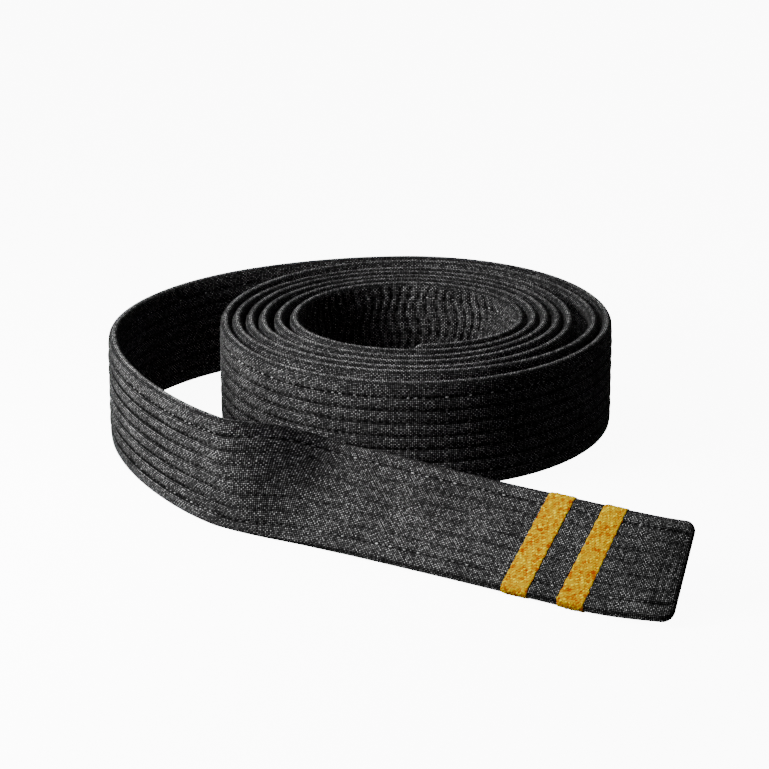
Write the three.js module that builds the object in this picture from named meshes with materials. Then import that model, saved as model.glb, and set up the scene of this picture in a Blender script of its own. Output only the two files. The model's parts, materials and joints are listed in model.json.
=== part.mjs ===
// A martial arts belt standing on its edge: six and a half turns of coil, a loop to the left,
// and the striped end laid out in front. Millimetres, +Z up, +Y to the back of the coil.
//
// The belt is one long strip: a folded cover, core plies inside it, rows of lockstitch along it,
// cross rows at both ends and two rank stripes wrapped round the loose end. Every piece is a
// section carried along the same stations, so pieces that lie against each other never cross.
// The strip is cut at two places where the loose end bends, and each cut is a hinge.
import * as THREE from "three";

// ---- Strip ----
const BELT_WIDTH = 40;
const BELT_THICKNESS = 3.8;
const COVER_WALL = 0.55;
const EDGE_CHAMFER = 1.1; // how far the folded edge rounds back from the edge line
const EDGE_FLAT = 1.6; // flat left on the folded edge, which the coil stands on
const SEAM_GAP = 0.6; // between the cover's two long raw edges, under the middle row
const PLY_COUNT = 3;
const PLY_GAP = 0.15; // round each ply
const PLY_INSET = 0.35; // between a ply's edge and the inside of the fold

// ---- Stitching ----
const ROW_COUNT = 7;
const ROW_PITCH = 4.8;
const THREAD_WIDTH = 0.6;
const THREAD_HEIGHT = 0.25;
const THREAD_GAP = 0.05;
const CROSS_ROW_OFFSETS = [3, 5.5, 8]; // from the end of the strip to each cross row
const CROSS_ROW_GAP = 0.2;
const CROSS_ROW_INSET = 2.5; // from the folded edge to the end of a cross row
const ROW_STOP = 10; // from the end of the strip to the end of the long rows

// ---- Rank stripes ----
const STRIPE_WIDTH = 9.8;
const STRIPE_SPACING = 11; // bare belt between the two stripes
const STRIPE_THICKNESS = 0.4;
const STRIPE_GAP = 0.1; // between a stripe and what it is wrapped over
const TIP_BEYOND_STRIPES = 30;

// ---- Coil ----
const COIL_TURNS = 6.5;
const COIL_INNER_RADIUS = 38.5;
const TURN_SLACK = 1.45; // clear air between one turn and the next
const OUTER_OVAL = 4.6; // how much the outermost turn is stretched to the front and back
const OVAL_TURNS = 1.5; // turns over which that stretch dies away
const STATIONS_PER_TURN = 16;
// How far the winding has slipped in or out at each quarter turn, from the back of the outer turn.
const QUARTER_SLIPS = [
  0, 0, 1.3, -0.9, 1.2, 0.6, -1.2, 0.2, 0.4, -3.0, -0.6, 0.7, 0.9, -1.9, -1.6, 1.5, 1.4, -0.8, -2.7, 1.2,
  2.5, 0.3, -3.6, 0.9, 3.0, 1.1, -3.6,
];

// ---- Loop and loose end, from the coil's centre ----
const LOOP_FAR_LEFT = new THREE.Vector2(-110, -14);
const BEND_END = new THREE.Vector2(-65.4, -114);
const RUN_HEADING = -33; // degrees from +X, the way the loose end points
const PLAIN_RUN = 111.5; // straight belt between the loop's bend and the first stripe
const BACK_HANDLES = [64, 48]; // lengths of the curve handles of the back of the loop
const FRONT_HANDLES = [43, 15]; // and of its front
const TIP_HEADING = -17;
const TIP_CURL_LENGTH = 36;
const STRIPE_LEAN = 54; // degrees that the striped end leans back from upright
const TIP_LEAN = 58;
const FIRST_LEAN = 44; // the part of the lean that comes over the first twist
const FIRST_TWIST = 35; // the length of that twist, from the end of the bend
const FIRST_CUP = 64; // degrees that the strip curls across its width where it is most cupped
const CUP_BEFORE = 10; // from the start of the cupped part to the end of the bend
const CUP_MOST = 16; // from the end of the bend to where the strip is most cupped
const CUP_END = 60; // from the end of the bend to where the strip is flat again

// ---- Hinges ----
const LOOP_BEND_LIMIT = 35; // degrees, the larger of its two limits
const TIP_BEND_LIMIT = 60;
const HINGE_CLEARANCE = 0.25;
const HINGE_TO_STRIPE = 12;

// ---- Steps between stations, where the strip is not coiled ----
const LOOP_STEP = 20;
const TAIL_STEP = 8;
const TIP_STEP = 8;
const SAME_POINT = 0.1; // a stitch row nearer than this to an edge of a face is that edge

// ---- Colours ----
const BLACK_COTTON = new THREE.MeshStandardMaterial({ color: 0x17171a, roughness: 0.95, metalness: 0 });
const BLACK_THREAD = new THREE.MeshStandardMaterial({ color: 0x26262b, roughness: 0.6, metalness: 0 });
const CORE_COTTON = new THREE.MeshStandardMaterial({ color: 0x2a2a2c, roughness: 1, metalness: 0 });
const GOLD_TAPE = new THREE.MeshStandardMaterial({ color: 0xf2b40c, roughness: 0.55, metalness: 0 });

// ---- Sizes that follow ----
const HALF = BELT_THICKNESS / 2;
const THREAD_TOP = HALF + THREAD_GAP + THREAD_HEIGHT;
const TURN_PITCH = BELT_THICKNESS + THREAD_GAP + THREAD_HEIGHT + TURN_SLACK;
const STRIPED_LENGTH = 2 * STRIPE_WIDTH + STRIPE_SPACING + TIP_BEYOND_STRIPES;
const RUN_LENGTH = PLAIN_RUN + STRIPED_LENGTH - TIP_CURL_LENGTH;

// Height of row number `index` above the lower folded edge.
function rowHeight(index) {
  return BELT_WIDTH / 2 + (index - (ROW_COUNT - 1) / 2) * ROW_PITCH;
}

const ROW_HEIGHTS = Array.from({ length: ROW_COUNT }, (_, index) => rowHeight(index));

const radians = THREE.MathUtils.degToRad;
const smooth = THREE.MathUtils.smoothstep;

// ---- Route of the strip's lower edge ----

// Centreline radius of the coil after `turn` turns inwards from the back.
function coilRadius(turn) {
  const stretch = OUTER_OVAL * Math.max(0, 1 - (turn / OVAL_TURNS) ** 2);
  const plain = COIL_INNER_RADIUS + TURN_PITCH * (COIL_TURNS - turn);
  const quarter = Math.min(Math.floor(4 * turn), QUARTER_SLIPS.length - 2);
  const [from, to] = QUARTER_SLIPS.slice(quarter, quarter + 2);
  const slip = from + (to - from) * smooth(4 * turn, quarter, quarter + 1);
  return plain + stretch * Math.cos(2 * Math.PI * turn) ** 2 + slip;
}

// A frame says where the strip is at one station: `foot` on its lower edge at mid thickness,
// `side` level and square to the strip towards its outer face, `lean` how far the strip leans
// back at mid width, and `cup` how much more it leans at its top edge than at its bottom one.
function coilFrame(turn) {
  const angle = Math.PI / 2 - 2 * Math.PI * turn;
  const side = new THREE.Vector3(Math.cos(angle), Math.sin(angle), 0);
  const foot = side.clone().multiplyScalar(coilRadius(turn));
  return { foot, side, lean: 0, cup: 0 };
}

// A place on the strip, `height` up its width and `depth` towards its outer face. A cupped strip
// is an arc across its width, and `chord` is the straight line from its foot to the height.
function placeOn({ foot, side, lean, cup }, height, depth) {
  const low = lean - cup / 2;
  const here = low + (cup * height) / BELT_WIDTH;
  const middle = (low + here) / 2;
  const halfTurn = (here - low) / 2;
  const chord = height * (halfTurn === 0 ? 1 : Math.sin(halfTurn) / halfTurn);
  const place = foot.clone().addScaledVector(side, depth * Math.cos(here) - chord * Math.sin(middle));
  place.z += chord * Math.cos(middle) + depth * Math.sin(here);
  return place;
}

function heading(degrees) {
  return new THREE.Vector3(Math.cos(radians(degrees)), Math.sin(radians(degrees)), 0);
}

// The loose part, from the back of the coil to the tip: two curves round the loop, a straight
// run, and a short curl.
function tailRoute() {
  const leave = coilFrame(0).foot;
  const far = new THREE.Vector3(LOOP_FAR_LEFT.x, LOOP_FAR_LEFT.y, 0);
  const bend = new THREE.Vector3(BEND_END.x, BEND_END.y, 0);
  const along = heading(RUN_HEADING);
  const straightEnd = bend.clone().addScaledVector(along, RUN_LENGTH);
  const curlMiddle = straightEnd.clone().addScaledVector(along, TIP_CURL_LENGTH / 2);
  const curlEnd = curlMiddle.clone().addScaledVector(heading(TIP_HEADING), TIP_CURL_LENGTH / 2);
  const route = new THREE.CurvePath();
  route.add(
    new THREE.CubicBezierCurve3(
      leave,
      leave.clone().add(new THREE.Vector3(-BACK_HANDLES[0], 0, 0)),
      far.clone().add(new THREE.Vector3(0, BACK_HANDLES[1], 0)),
      far,
    ),
  );
  route.add(
    new THREE.CubicBezierCurve3(
      far,
      far.clone().add(new THREE.Vector3(0, -FRONT_HANDLES[0], 0)),
      bend.clone().addScaledVector(along, -FRONT_HANDLES[1]),
      bend,
    ),
  );
  route.add(new THREE.LineCurve3(bend, straightEnd));
  route.add(new THREE.QuadraticBezierCurve3(straightEnd, curlMiddle, curlEnd));
  return route;
}

const ROUTE = tailRoute();
const [LOOP_FAR_AT, BEND_AT, , TIP_AT] = ROUTE.getCurveLengths();
const STRIPE_2_END = TIP_AT - TIP_BEYOND_STRIPES;
const STRIPE_2_START = STRIPE_2_END - STRIPE_WIDTH;
const STRIPE_1_END = STRIPE_2_START - STRIPE_SPACING;
const STRIPE_1_START = STRIPE_1_END - STRIPE_WIDTH;
const TIP_HINGE_AT = STRIPE_1_START - HINGE_TO_STRIPE;

// How far the strip leans back at a distance along the loose part, in radians.
function leanAt(distance) {
  const first = FIRST_LEAN * smooth(distance, BEND_AT, BEND_AT + FIRST_TWIST);
  const rest = (STRIPE_LEAN - FIRST_LEAN) * smooth(distance, BEND_AT, TIP_HINGE_AT);
  const more = (TIP_LEAN - STRIPE_LEAN) * smooth(distance, STRIPE_2_END, TIP_AT);
  return radians(first + rest + more);
}

// How much the strip curls across its width at a distance along the loose part, in radians.
function cupAt(distance) {
  const most = BEND_AT + CUP_MOST;
  const rising = smooth(distance, BEND_AT - CUP_BEFORE, most);
  const falling = 1 - smooth(distance, most, BEND_AT + CUP_END);
  return radians(FIRST_CUP) * rising * falling;
}

// The outline that touches the floor: the cover's, or that of the stripes wrapped round it.
function footprint(grow) {
  const flat = EDGE_FLAT / 2 + grow;
  return [
    [-grow, flat],
    [-grow, -flat],
    [EDGE_CHAMFER - grow, -HALF - grow],
    [EDGE_CHAMFER - grow, HALF + grow],
  ];
}

// A leaning strip is lifted until the lowest corner of its outline rests on the floor.
function restHeight(lean, grow) {
  const depths = footprint(grow).map(([w, v]) => w * Math.cos(lean) + v * Math.sin(lean));
  return -Math.min(...depths);
}

function tailFrame(distance) {
  const share = distance / TIP_AT;
  const foot = ROUTE.getPointAt(share);
  const along = ROUTE.getTangentAt(share);
  const side = new THREE.Vector3(along.y, -along.x, 0);
  const lean = leanAt(distance);
  const cup = cupAt(distance);
  const low = lean - cup / 2;
  const wrapped = smooth(distance, BEND_AT, TIP_HINGE_AT);
  foot.z = THREE.MathUtils.lerp(restHeight(low, 0), restHeight(low, STRIPE_GAP + STRIPE_THICKNESS), wrapped);
  return { foot, side, lean, cup };
}

// Distances from `from` to `to` in even steps no longer than `step`.
function evenly(from, to, step) {
  const count = Math.ceil((to - from) / step);
  return Array.from({ length: count + 1 }, (_, index) => from + ((to - from) * index) / count);
}

// Half the gap that a strip bending by `limit` degrees needs at a hinge.
function hingeHalfGap(limit) {
  return THREAD_TOP * Math.tan(radians(limit / 2)) + HINGE_CLEARANCE;
}

// ---- Stations of the three lengths of the strip ----
const LOOP_HALF_GAP = hingeHalfGap(LOOP_BEND_LIMIT);
const TIP_HALF_GAP = hingeHalfGap(TIP_BEND_LIMIT);

function coilTurns() {
  const count = Math.ceil(COIL_TURNS * STATIONS_PER_TURN);
  return Array.from({ length: count + 1 }, (_, index) => COIL_TURNS * (1 - index / count));
}

const COIL_FRAMES = coilTurns().map(coilFrame);
const LOOP_DISTANCES = evenly(0, LOOP_FAR_AT - LOOP_HALF_GAP, LOOP_STEP).slice(1);
const COILED_LENGTH = [...COIL_FRAMES, ...LOOP_DISTANCES.map(tailFrame)];
const TAIL_DISTANCES = evenly(LOOP_FAR_AT + LOOP_HALF_GAP, TIP_HINGE_AT - TIP_HALF_GAP, TAIL_STEP);
const LOOSE_TAIL = TAIL_DISTANCES.map(tailFrame);
const TIP_ROWS = [
  TIP_HINGE_AT + TIP_HALF_GAP,
  STRIPE_1_START,
  STRIPE_1_END,
  STRIPE_2_START,
  STRIPE_2_END,
  ...evenly(STRIPE_2_END, TIP_AT - ROW_STOP, TIP_STEP).slice(1),
];
const STRIPED_TIP = [...TIP_ROWS, TIP_AT - ROW_STOP / 2, TIP_AT].map(tailFrame);

// ---- Sections, as points (height up the strip, depth towards the outer face) ----

// Points along a face, split at the stitch rows where the strip twists.
function face(from, to, depth, split) {
  const low = Math.min(from, to);
  const high = Math.max(from, to);
  const inside = (w) => w > low + SAME_POINT && w < high - SAME_POINT;
  const between = split ? ROW_HEIGHTS.filter(inside) : [];
  if (from > to) between.reverse();
  return [from, ...between, to].map((w) => new THREE.Vector2(w, depth));
}

function coverSection(split) {
  const middle = BELT_WIDTH / 2;
  const inside = HALF - COVER_WALL;
  const upper = BELT_WIDTH - COVER_WALL;
  return [
    ...face(middle + SEAM_GAP / 2, BELT_WIDTH - EDGE_CHAMFER, -HALF, split),
    new THREE.Vector2(BELT_WIDTH, -EDGE_FLAT / 2),
    new THREE.Vector2(BELT_WIDTH, EDGE_FLAT / 2),
    ...face(BELT_WIDTH - EDGE_CHAMFER, EDGE_CHAMFER, HALF, split),
    new THREE.Vector2(0, EDGE_FLAT / 2),
    new THREE.Vector2(0, -EDGE_FLAT / 2),
    ...face(EDGE_CHAMFER, middle - SEAM_GAP / 2, -HALF, split),
    ...face(middle - SEAM_GAP / 2, COVER_WALL + EDGE_CHAMFER / 2, -inside, split),
    new THREE.Vector2(COVER_WALL, 0),
    ...face(COVER_WALL + EDGE_CHAMFER / 2, upper - EDGE_CHAMFER / 2, inside, split),
    new THREE.Vector2(upper, 0),
    ...face(upper - EDGE_CHAMFER / 2, middle + SEAM_GAP / 2, -inside, split),
  ];
}

function plySection(index, split) {
  const room = BELT_THICKNESS - 2 * COVER_WALL;
  const thickness = (room - (PLY_COUNT + 1) * PLY_GAP) / PLY_COUNT;
  const under = -room / 2 + PLY_GAP + index * (thickness + PLY_GAP);
  const low = COVER_WALL + EDGE_CHAMFER / 2 + PLY_INSET;
  const high = BELT_WIDTH - low;
  return [...face(low, high, under, split), ...face(high, low, under + thickness, split)];
}

function threadSection(row) {
  const height = rowHeight(row);
  return [
    new THREE.Vector2(height - THREAD_WIDTH / 2, HALF + THREAD_GAP),
    new THREE.Vector2(height + THREAD_WIDTH / 2, HALF + THREAD_GAP),
    new THREE.Vector2(height, THREAD_TOP),
  ];
}

// An outline round the belt, `grow` outside the folded edges and inner face, and the same
// outside the stitches on the outer face.
function wrapOutline(grow) {
  const flat = EDGE_FLAT / 2 + grow;
  const outer = THREAD_TOP + grow;
  const inner = -HALF - grow;
  const chamfer = EDGE_CHAMFER - grow;
  return [
    new THREE.Vector2(chamfer, inner),
    new THREE.Vector2(BELT_WIDTH - chamfer, inner),
    new THREE.Vector2(BELT_WIDTH + grow, -flat),
    new THREE.Vector2(BELT_WIDTH + grow, flat),
    new THREE.Vector2(BELT_WIDTH - chamfer, outer),
    new THREE.Vector2(chamfer, outer),
    new THREE.Vector2(-grow, flat),
    new THREE.Vector2(-grow, -flat),
  ];
}

// ---- Solids ----

// Carries a section, with an optional hole, along frames and closes both ends. Every side is
// split along the diagonal that climbs the strip, so faces that lie together twist together.
function sweep(frames, section, hole = []) {
  const loops = hole.length ? [section, hole] : [section];
  const points = loops.flat();
  const positions = [];
  for (const frame of frames)
    for (const point of points) {
      const place = placeOn(frame, point.x, point.y);
      positions.push(place.x, place.y, place.z);
    }
  const index = [];
  for (let step = 0; step + 1 < frames.length; step++) {
    let first = step * points.length;
    for (const loop of loops) {
      for (let side = 0; side < loop.length; side++) {
        const a = first + side;
        const b = first + ((side + 1) % loop.length);
        const [c, d] = [b + points.length, a + points.length];
        if (points[b % points.length].x < points[a % points.length].x) index.push(a, b, d, b, c, d);
        else index.push(a, b, c, a, c, d);
      }
      first += loop.length;
    }
  }
  const last = (frames.length - 1) * points.length;
  for (const [a, b, c] of THREE.ShapeUtils.triangulateShape(section, hole.length ? [hole] : []))
    index.push(a, c, b, last + a, last + b, last + c);
  const geometry = new THREE.BufferGeometry();
  geometry.setAttribute("position", new THREE.Float32BufferAttribute(positions, 3));
  geometry.setIndex(index);
  return geometry;
}

// A stitched row across the strip, centred on `middle`, lying on the outer face. `frameAt` gives
// the frame at a distance along the length that the row is on.
function crossRow(frameAt, middle) {
  const low = HALF + CROSS_ROW_GAP;
  const section = [
    new THREE.Vector2(CROSS_ROW_INSET, low),
    new THREE.Vector2(BELT_WIDTH - CROSS_ROW_INSET, low),
    new THREE.Vector2(BELT_WIDTH - CROSS_ROW_INSET, low + THREAD_HEIGHT),
    new THREE.Vector2(CROSS_ROW_INSET, low + THREAD_HEIGHT),
  ];
  return sweep([frameAt(middle - THREAD_WIDTH / 2), frameAt(middle + THREAD_WIDTH / 2)], section);
}

const belt = new THREE.Group();

function addPiece(name, geometry, material) {
  const mesh = new THREE.Mesh(geometry, material);
  mesh.name = name;
  belt.add(mesh);
}

// The cover, plies and long stitch rows of one length of the strip.
function addLength(name, frames, rowFrames, twisted) {
  addPiece(`cover_${name}`, sweep(frames, coverSection(twisted)), BLACK_COTTON);
  for (let ply = 0; ply < PLY_COUNT; ply++)
    addPiece(`core_ply_${ply + 1}_${name}`, sweep(frames, plySection(ply, twisted)), CORE_COTTON);
  for (let row = 0; row < ROW_COUNT; row++)
    addPiece(`stitch_row_${row + 1}_${name}`, sweep(rowFrames, threadSection(row)), BLACK_THREAD);
}

addLength("coil", COILED_LENGTH, COILED_LENGTH.slice(1), false);
addLength("tail", LOOSE_TAIL, LOOSE_TAIL, true);
addLength("tip", STRIPED_TIP, TIP_ROWS.map(tailFrame), true);

CROSS_ROW_OFFSETS.forEach((offset, number) => {
  addPiece(`cross_row_${number + 1}_tip`, crossRow(tailFrame, TIP_AT - offset), BLACK_THREAD);
  const girth = 2 * Math.PI * coilRadius(COIL_TURNS);
  const fromInnerEnd = (distance) => coilFrame(COIL_TURNS - distance / girth);
  addPiece(`cross_row_${number + 1}_inner_end`, crossRow(fromInnerEnd, offset), BLACK_THREAD);
});

[
  [STRIPE_1_START, STRIPE_1_END],
  [STRIPE_2_START, STRIPE_2_END],
].forEach(([start, end], number) => {
  const outer = wrapOutline(STRIPE_GAP + STRIPE_THICKNESS);
  const inner = wrapOutline(STRIPE_GAP).reverse();
  addPiece(`rank_stripe_${number + 1}`, sweep([start, end].map(tailFrame), outer, inner), GOLD_TAPE);
});

// The origin is on the floor, under the middle of the whole belt.
const box = new THREE.Box3().setFromObject(belt);
const centre = box.getCenter(new THREE.Vector3());
belt.position.set(-centre.x, -centre.y, -box.min.z);

// Where each hinge is and the way it turns, and the main places, in the part's own frame.
function hinge(distance, sign) {
  const frame = tailFrame(distance);
  const up = placeOn(frame, BELT_WIDTH, 0).sub(frame.foot).normalize();
  return {
    position: placeOn(frame, BELT_WIDTH / 2, 0).add(belt.position).toArray(),
    axis: up.multiplyScalar(sign).toArray(),
  };
}

belt.userData = {
  loopBend: hinge(LOOP_FAR_AT, 1),
  tipBend: hinge(TIP_HINGE_AT, -1),
  coilCentre: belt.position.toArray(),
};

export default belt;
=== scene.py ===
import json
import logging
from dataclasses import dataclass, field
from enum import Enum

import bpy
import numpy as np
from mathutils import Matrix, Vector


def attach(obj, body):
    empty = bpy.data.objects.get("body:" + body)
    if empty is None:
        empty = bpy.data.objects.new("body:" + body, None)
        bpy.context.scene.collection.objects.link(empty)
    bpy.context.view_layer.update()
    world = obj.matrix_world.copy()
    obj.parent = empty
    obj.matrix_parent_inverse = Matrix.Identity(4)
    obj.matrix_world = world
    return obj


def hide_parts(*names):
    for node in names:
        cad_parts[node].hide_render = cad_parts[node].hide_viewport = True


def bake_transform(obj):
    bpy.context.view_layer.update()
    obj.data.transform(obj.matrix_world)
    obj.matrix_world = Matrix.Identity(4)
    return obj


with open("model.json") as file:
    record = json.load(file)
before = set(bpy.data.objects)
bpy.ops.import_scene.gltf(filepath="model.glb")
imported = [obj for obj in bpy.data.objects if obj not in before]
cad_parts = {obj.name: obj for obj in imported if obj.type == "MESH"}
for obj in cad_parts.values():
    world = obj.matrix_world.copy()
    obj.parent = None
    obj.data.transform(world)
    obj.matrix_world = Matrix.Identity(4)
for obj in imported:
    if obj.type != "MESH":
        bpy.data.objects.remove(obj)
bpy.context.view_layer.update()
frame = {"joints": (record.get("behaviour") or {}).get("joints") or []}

log = logging.getLogger("belt")
MM = 0.001
TAU = 2 * np.pi


def smooth(x: np.ndarray, start: float, stop: float) -> np.ndarray:
    """Ease from 0 at start to 1 at stop: 3t^2 - 2t^3 of the clipped share t.

    Args:
        x: Where to read the ease.
        start: Where it leaves 0.
        stop: Where it reaches 1.

    Returns:
        The eased share, the shape of x.
    """
    t = np.clip((np.asarray(x, float) - start) / (stop - start), 0, 1)
    return t * t * (3 - 2 * t)


def scatter(n: np.ndarray, seed: float) -> np.ndarray:
    """Give each whole number its own steady value in 0..1: the fraction of a large sine.

    Args:
        n: Whole numbers.
        seed: Changes the whole set.

    Returns:
        Values from 0 to 1, the shape of n.
    """
    return np.modf(np.abs(np.sin(np.asarray(n, float) * 12.9898 + seed * 78.233) * 43758.5453))[0]


def ripple(s: np.ndarray, length: float, seed: float) -> np.ndarray:
    """Make an uneven wave of height about 1 from three sines whose lengths don't divide.

    Args:
        s: Distance along the strip.
        length: The middle wavelength.
        seed: Shifts the phases.

    Returns:
        The wave at each s.
    """
    phase = TAU * np.asarray(s, float) / length
    slow = np.sin(0.61 * phase + 1.7 * seed)
    return 0.5 * np.sin(phase + 3.1 * seed) + 0.3 * slow + 0.2 * np.sin(1.73 * phase + 0.9 * seed)


@dataclass
class Strip:
    """Sizes of the sewn strip, and the outline of its section."""

    width: float = 40 * MM
    thickness: float = 3.8 * MM
    edge_depth: float = 1.9 * MM  # how far each folded edge rounds over
    row_count: int = 7
    row_pitch: float = 4.8 * MM
    stitch_pitch: float = 2.7 * MM
    groove_half_width: float = 0.6 * MM
    end_round: float = 3.2 * MM  # how far from an end the folded end starts to round over
    corner_radius: float = 4.2 * MM

    def rows(self) -> np.ndarray:
        """Return the height of each lengthwise stitch row."""
        steps = np.arange(self.row_count) - (self.row_count - 1) / 2
        return self.width / 2 + steps * self.row_pitch

    def outline(self, face_points: int, edge_points: int) -> tuple[np.ndarray, np.ndarray, np.ndarray]:
        """Lay out one section: up the outer face, over the top edge, down the inner face and under.

        Each face is flat and each edge is half an ellipse, edge_depth by half the thickness.

        Args:
            face_points: Points up each face.
            edge_points: Points round each edge, its ends left to the faces.

        Returns:
            Heights w, depths d and the side of each point: 1 outer, -1 inner, 0 an edge.
        """
        half = self.thickness / 2
        up = np.linspace(self.edge_depth, self.width - self.edge_depth, face_points)
        turn = np.linspace(0, np.pi, edge_points + 2)[1:-1]
        bulge = self.edge_depth * np.sin(turn)
        w = np.concatenate([up, up[-1] + bulge, up[::-1], up[0] - bulge])
        across = half * np.cos(turn)
        d = np.concatenate([np.full(face_points, half), across, np.full(face_points, -half), -across])
        face, edge = np.ones(face_points), np.zeros(edge_points)
        side = np.concatenate([face, edge, -face, edge])
        return w, d, side


@dataclass
class Route:
    """Where the strip runs: the coil, the loop to its left, and the striped end laid out in front.

    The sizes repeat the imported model's. A dense table of points an even step apart holds the
    route, and every place along the strip is read from it.
    """

    strip: Strip
    centre: np.ndarray
    turns: float = 6.5
    inner_radius: float = 38.5 * MM
    turn_pitch: float = 5.55 * MM
    oval: float = 4.6 * MM
    oval_turns: float = 1.5
    loop_far_left: tuple[float, float] = (-110 * MM, -14 * MM)
    bend_end: tuple[float, float] = (-65.4 * MM, -114 * MM)
    run_heading: float = np.radians(-33)
    plain_run: float = 111.5 * MM
    back_handles: tuple[float, float] = (64 * MM, 48 * MM)
    front_handles: tuple[float, float] = (43 * MM, 15 * MM)
    tip_heading: float = np.radians(-17)
    tip_curl: float = 36 * MM
    stripe_width: float = 9.8 * MM
    stripe_spacing: float = 11 * MM
    beyond_stripes: float = 30 * MM
    hinge_to_stripe: float = 12 * MM
    stripe_lean: float = np.radians(54)
    tip_lean: float = np.radians(58)
    first_lean: float = np.radians(44)  # the part of the lean that comes over the first twist
    first_twist: float = 35 * MM
    first_cup: float = np.radians(64)  # how far the strip curls across its width where it is most cupped
    cup_before: float = 10 * MM  # from the start of the cupped part to the end of the bend
    cup_most: float = 16 * MM  # from the end of the bend to where the strip is most cupped
    cup_end: float = 60 * MM
    stripe_lift: float = 0.5 * MM  # what the stripes wrapped round the strip lift it by
    tip_lift: float = 1.0 * MM  # the last of the tip stands a little clear of the floor
    winding_lift: float = 0.35 * MM  # how unevenly the turns stand
    winding_wave: float = 150 * MM
    # How far the winding has slipped in or out at each quarter turn, from the back of the outer turn.
    slips: tuple[float, ...] = (
        0, 0, 1.3, -0.9, 1.2, 0.6, -1.2, 0.2, 0.4, -3.0, -0.6, 0.7, 0.9, -1.9,
        -1.6, 1.5, 1.4, -0.8, -2.7, 1.2, 2.5, 0.3, -3.6, 0.9, 3.0, 1.1, -3.6,
    )
    step: float = 0.25 * MM
    marks: dict[str, float] = field(default_factory=dict)

    def __post_init__(self) -> None:
        """Tabulate the route: plan points, headings and the named places along it."""
        coil = self._coil_plan()
        leave = coil[-1]
        far = np.array(self.loop_far_left)
        bend = np.array(self.bend_end)
        along = self.direction(self.run_heading)
        striped = 2 * self.stripe_width + self.stripe_spacing + self.beyond_stripes
        straight_end = bend + along * (self.plain_run + striped - self.tip_curl)
        curl_middle = straight_end + along * self.tip_curl / 2
        curl_end = curl_middle + self.direction(self.tip_heading) * self.tip_curl / 2
        back, front = self.back_handles, self.front_handles
        parts = [
            coil,
            self._bezier(leave, leave + [-back[0], 0], far + [0, back[1]], far),
            self._bezier(far, far + [0, -front[0]], bend - along * front[1], bend),
            self._bezier(bend, straight_end),
            self._bezier(straight_end, curl_middle, curl_end),
        ]
        lengths = [np.sum(np.hypot(*np.diff(part, axis=0).T)) for part in parts]
        ends = np.cumsum(lengths)
        self.length = float(ends[-1])
        plan = np.concatenate([part if i == 0 else part[1:] for i, part in enumerate(parts)])
        run = np.concatenate([[0], np.cumsum(np.hypot(*np.diff(plan, axis=0).T))])
        self.s = np.linspace(0, self.length, int(self.length / self.step))
        self.x = np.interp(self.s, run, plan[:, 0])
        self.y = np.interp(self.s, run, plan[:, 1])
        bearing = np.unwrap(np.arctan2(np.gradient(self.y), np.gradient(self.x)))
        self.bearing = self._averaged(bearing, 24)
        stripe_2_end = self.length - self.beyond_stripes
        stripe_1_start = stripe_2_end - 2 * self.stripe_width - self.stripe_spacing
        self.marks = {
            "leave": float(ends[0]),
            "far_left": float(ends[1]),
            "bend": float(ends[2]),
            "tip_hinge": stripe_1_start - self.hinge_to_stripe,
            "stripe_1": stripe_1_start,
            "stripe_2": stripe_2_end - self.stripe_width,
            "tip": self.length,
        }

    @staticmethod
    def direction(angle: float) -> np.ndarray:
        """Return the unit plan vector at an angle from +X."""
        return np.array([np.cos(angle), np.sin(angle)])

    @staticmethod
    def _averaged(values: np.ndarray, reach: int) -> np.ndarray:
        """Smooth a table with a running mean of 2 * reach + 1 values, its ends held."""
        padded = np.concatenate([np.full(reach, values[0]), values, np.full(reach, values[-1])])
        total = np.cumsum(np.concatenate([[0], padded]))
        window = 2 * reach + 1
        return (total[window:] - total[:-window]) / window

    @staticmethod
    def _bezier(*controls: np.ndarray, points: int = 500) -> np.ndarray:
        """Return points on the Bezier curve of the controls, by repeated halving of the way between them."""
        t = np.linspace(0, 1, points)[:, None]
        level = [np.broadcast_to(c, (points, 2)) for c in controls]
        while len(level) > 1:
            level = [a + (b - a) * t for a, b in zip(level, level[1:])]
        return level[0]

    def _coil_plan(self) -> np.ndarray:
        """Lay out the coil from its inner end outwards.

        The radius is the inner radius plus a pitch for each turn, a stretch to the front and back
        that dies away inwards, and the slip, eased from one quarter turn to the next.

        Returns:
            Plan points from the coil's centre.
        """
        turn = np.linspace(self.turns, 0, 9000)
        angle = np.pi / 2 - TAU * turn
        stretch = self.oval * np.maximum(0, 1 - (turn / self.oval_turns) ** 2)
        quarter = np.minimum((turn * 4).astype(int), len(self.slips) - 2)
        slips = np.array(self.slips) * MM
        slip = slips[quarter] + (slips[quarter + 1] - slips[quarter]) * smooth(turn * 4 - quarter, 0, 1)
        radius = self.inner_radius + self.turn_pitch * (self.turns - turn) + slip
        radius = radius + stretch * np.cos(TAU * turn) ** 2
        return np.stack([radius * np.cos(angle), radius * np.sin(angle)], axis=1)

    def turn_at(self, turn: float) -> float:
        """Return the distance along the strip of a turn counted inwards from the back of the coil."""
        bearing_there = self.bearing_at_leave() - TAU * turn
        coiled = slice(self._leave_index())
        return float(np.interp(bearing_there, self.bearing[coiled], self.s[coiled]))

    def _leave_index(self) -> int:
        """Return the table row where the strip leaves the coil."""
        return int(np.searchsorted(self.s, self.marks["leave"]))

    def bearing_at_leave(self) -> float:
        """Return the heading of the strip where it leaves the coil."""
        return float(self.bearing[self._leave_index()])

    def lean(self, s: np.ndarray) -> np.ndarray:
        """Return how far the strip leans back at mid width, in radians: none in the coil, most at the tip."""
        start = self.marks["bend"]
        stripes_end = self.marks["stripe_2"] + self.stripe_width
        first = self.first_lean * smooth(s, start, start + self.first_twist)
        rest = (self.stripe_lean - self.first_lean) * smooth(s, start, self.marks["tip_hinge"])
        more = (self.tip_lean - self.stripe_lean) * smooth(s, stripes_end, self.marks["tip"])
        return first + rest + more

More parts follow.
